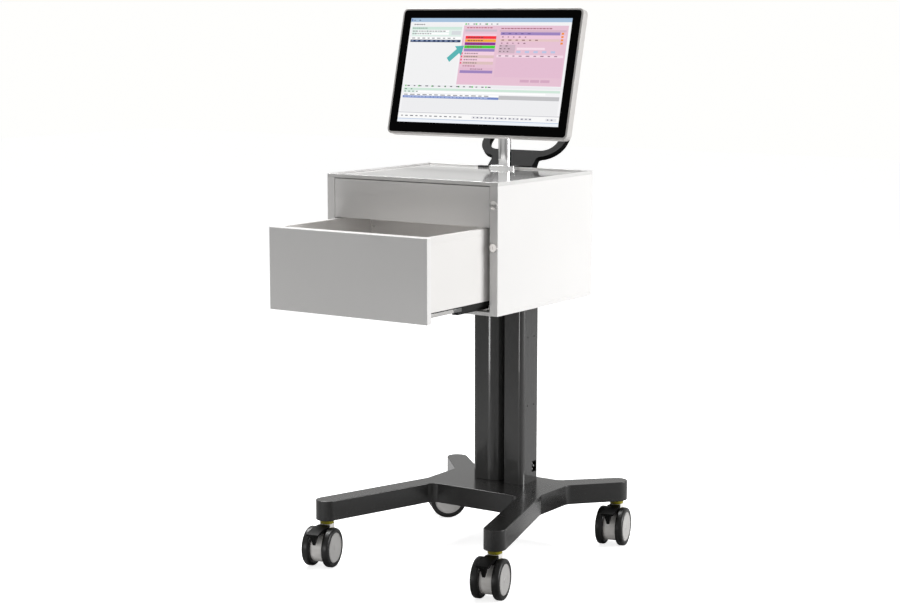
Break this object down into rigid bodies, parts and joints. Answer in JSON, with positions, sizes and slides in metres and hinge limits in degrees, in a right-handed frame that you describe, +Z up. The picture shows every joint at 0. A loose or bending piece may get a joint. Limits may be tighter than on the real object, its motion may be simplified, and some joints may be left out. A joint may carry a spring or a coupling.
{
  "type": "medication cart",
  "caption": "Ward medication cart: white drawer cabinet on a dark column, tilting touch monitor, push handle and a four-legged base on twin-wheel casters.",
  "frame": {"origin": "on the floor, at the centre of the rectangle of the caster swivel axes", "axes": "+X to the cart's right as seen facing its drawers, +Y to the back (the push handle), +Z up"},
  "size_m": [0.6389, 0.874, 1.3914],
  "materials": {
    "cabinet_white": "smooth white semi-gloss coating",
    "drawer_white": "satin white coating",
    "slide_steel": "zinc-plated steel",
    "graphite_coat": "dark graphite powder coating, semi-gloss",
    "black_plastic": "black moulded plastic, satin",
    "bright_metal": "polished and plated",
    "arm_grey": "dark grey coating",
    "monitor_silver": "silver-grey satin frame",
    "monitor_shell": "fine-textured grey plastic",
    "screen_glass": "black glass over a lit display",
    "collar_yellow": "yellow moulded plastic",
    "caster_grey": "light grey moulded plastic",
    "caster_tyre": "dark grey tread"
  },
  "bodies": {
    "root": {"base_casting": "graphite_coat", "base_cover": "black_plastic", "cover_screws": "slide_steel", "column_left": "graphite_coat", "column_right": "graphite_coat", "column_core": "graphite_coat", "power_inlet": "black_plastic", "inlet_screws": "slide_steel", "cabinet_bottom": "cabinet_white", "cabinet_top": "cabinet_white", "cabinet_side_left": "cabinet_white", "cabinet_side_right": "cabinet_white", "cabinet_back": "cabinet_white", "upper_slide_fixed": "slide_steel", "lower_slide_fixed": "slide_steel", "mast_foot": "bright_metal", "mast_tube": "bright_metal", "cable_grommet": "black_plastic", "push_handle": "black_plastic", "caster_stems": "slide_steel", "caster_collars": "collar_yellow"},
    "upper_drawer": {"upper_drawer_front": "cabinet_white", "upper_drawer_box": "drawer_white", "upper_slide_drawer": "slide_steel"},
    "upper_slide": {"upper_slide_mid": "slide_steel"},
    "lower_drawer": {"lower_drawer_front": "cabinet_white", "lower_drawer_box": "drawer_white", "lower_slide_drawer": "slide_steel"},
    "lower_slide": {"lower_slide_mid": "slide_steel"},
    "lock_upper_plug": {"lock_upper": "bright_metal"},
    "lock_lower_plug": {"lock_lower": "bright_metal"},
    "mast_head": {"mast_collar": "arm_grey"},
    "monitor": {"tilt_plate": "arm_grey", "monitor_frame": "monitor_silver", "monitor_back": "monitor_shell", "monitor_glass": "screen_glass"},
    "front_left_caster": {"front_left_fork": "caster_grey"},
    "front_left_brake": {"front_left_pedal": "black_plastic"},
    "front_left_wheel_left": {"front_left_rim_left": "caster_grey", "front_left_tyre_left": "caster_tyre"},
    "front_left_wheel_right": {"front_left_rim_right": "caster_grey", "front_left_tyre_right": "caster_tyre"},
    "front_right_caster": {"front_right_fork": "caster_grey"},
    "front_right_brake": {"front_right_pedal": "black_plastic"},
    "front_right_wheel_left": {"front_right_rim_left": "caster_grey", "front_right_tyre_left": "caster_tyre"},
    "front_right_wheel_right": {"front_right_rim_right": "caster_grey", "front_right_tyre_right": "caster_tyre"},
    "rear_right_caster": {"rear_right_fork": "caster_grey"},
    "rear_right_brake": {"rear_right_pedal": "black_plastic"},
    "rear_right_wheel_left": {"rear_right_rim_left": "caster_grey", "rear_right_tyre_left": "caster_tyre"},
    "rear_right_wheel_right": {"rear_right_rim_right": "caster_grey", "rear_right_tyre_right": "caster_tyre"},
    "rear_left_caster": {"rear_left_fork": "caster_grey"},
    "rear_left_brake": {"rear_left_pedal": "black_plastic"},
    "rear_left_wheel_left": {"rear_left_rim_left": "caster_grey", "rear_left_tyre_left": "caster_tyre"},
    "rear_left_wheel_right": {"rear_left_rim_right": "caster_grey", "rear_left_tyre_right": "caster_tyre"}
  },
  "joints": [
    {"name": "lower_drawer_slide", "type": "slide", "parent": "root", "child": "lower_drawer", "axis": [0, -1, 0], "range_m": [-0.256, 0.094]},
    {"name": "lower_slide_extend", "type": "slide", "parent": "root", "child": "lower_slide", "axis": [0, -1, 0], "range_m": [-0.128, 0.047]},
    {"name": "upper_drawer_slide", "type": "slide", "parent": "root", "child": "upper_drawer", "axis": [0, -1, 0], "range_m": [0, 0.35]},
    {"name": "upper_slide_extend", "type": "slide", "parent": "root", "child": "upper_slide", "axis": [0, -1, 0], "range_m": [0, 0.175]},
    {"name": "upper_lock_turn", "type": "hinge", "parent": "root", "child": "lock_upper_plug", "pos_m": [0.239, -0.2845, 0.9345], "axis": [0, 1, 0], "range_deg": [0, 90]},
    {"name": "lower_lock_turn", "type": "hinge", "parent": "root", "child": "lock_lower_plug", "pos_m": [0.239, -0.2845, 0.8345], "axis": [0, 1, 0], "range_deg": [0, 90]},
    {"name": "monitor_swivel", "type": "hinge", "parent": "root", "child": "mast_head", "pos_m": [0, 0.1375, 1.21853], "axis": [0, 0, 1], "range_deg": [-45, 45]},
    {"name": "monitor_tilt", "type": "hinge", "parent": "mast_head", "child": "monitor", "pos_m": [0, 0.09905, 1.21853], "axis": [1, 0, 0], "range_deg": [-16, 20]},
    {"name": "front_left_swivel", "type": "hinge", "parent": "root", "child": "front_left_caster", "pos_m": [-0.2525, -0.2955, 0.1], "axis": [0, 0, 1], "continuous": true},
    {"name": "front_left_brake_press", "type": "hinge", "parent": "front_left_caster", "child": "front_left_brake", "pos_m": [-0.24698, -0.31886, 0.094], "axis": [0.9732, 0.23, 0], "range_deg": [0, 8]},
    {"name": "front_left_wheel_left_spin", "type": "hinge", "parent": "front_left_caster", "child": "front_left_wheel_left", "pos_m": [-0.24564, -0.3245, 0.05], "axis": [0.9732, 0.23, 0], "continuous": true},
    {"name": "front_left_wheel_right_spin", "type": "hinge", "parent": "front_left_caster", "child": "front_left_wheel_right", "pos_m": [-0.24564, -0.3245, 0.05], "axis": [0.9732, 0.23, 0], "continuous": true},
    {"name": "front_right_swivel", "type": "hinge", "parent": "root", "child": "front_right_caster", "pos_m": [0.2525, -0.2955, 0.1], "axis": [0, 0, 1], "continuous": true},
    {"name": "front_right_brake_press", "type": "hinge", "parent": "front_right_caster", "child": "front_right_brake", "pos_m": [0.25802, -0.31886, 0.094], "axis": [0.9732, 0.23, 0], "range_deg": [0, 8]},
    {"name": "front_right_wheel_left_spin", "type": "hinge", "parent": "front_right_caster", "child": "front_right_wheel_left", "pos_m": [0.25936, -0.3245, 0.05], "axis": [0.9732, 0.23, 0], "continuous": true},
    {"name": "front_right_wheel_right_spin", "type": "hinge", "parent": "front_right_caster", "child": "front_right_wheel_right", "pos_m": [0.25936, -0.3245, 0.05], "axis": [0.9732, 0.23, 0], "continuous": true},
    {"name": "rear_right_swivel", "type": "hinge", "parent": "root", "child": "rear_right_caster", "pos_m": [0.2525, 0.2955, 0.1], "axis": [0, 0, 1], "continuous": true},
    {"name": "rear_right_brake_press", "type": "hinge", "parent": "rear_right_caster", "child": "rear_right_brake", "pos_m": [0.25802, 0.27214, 0.094], "axis": [0.9732, 0.23, 0], "range_deg": [0, 8]},
    {"name": "rear_right_wheel_left_spin", "type": "hinge", "parent": "rear_right_caster", "child": "rear_right_wheel_left", "pos_m": [0.25936, 0.2665, 0.05], "axis": [0.9732, 0.23, 0], "continuous": true},
    {"name": "rear_right_wheel_right_spin", "type": "hinge", "parent": "rear_right_caster", "child": "rear_right_wheel_right", "pos_m": [0.25936, 0.2665, 0.05], "axis": [0.9732, 0.23, 0], "continuous": true},
    {"name": "rear_left_swivel", "type": "hinge", "parent": "root", "child": "rear_left_caster", "pos_m": [-0.2525, 0.2955, 0.1], "axis": [0, 0, 1], "continuous": true},
    {"name": "rear_left_brake_press", "type": "hinge", "parent": "rear_left_caster", "child": "rear_left_brake", "pos_m": [-0.26976, 0.27883, 0.094], "axis": [0.6947, -0.7193, 0], "range_deg": [0, 8]},
    {"name": "rear_left_wheel_left_spin", "type": "hinge", "parent": "rear_left_caster", "child": "rear_left_wheel_left", "pos_m": [-0.27394, 0.2748, 0.05], "axis": [0.6947, -0.7193, 0], "continuous": true},
    {"name": "rear_left_wheel_right_spin", "type": "hinge", "parent": "rear_left_caster", "child": "rear_left_wheel_right", "pos_m": [-0.27394, 0.2748, 0.05], "axis": [0.6947, -0.7193, 0], "continuous": true}
  ],
  "couplings": [
    {"joint": "lower_slide_extend", "follows": "lower_drawer_slide", "ratio": 0.5},
    {"joint": "upper_slide_extend", "follows": "upper_drawer_slide", "ratio": 0.5}
  ]
}
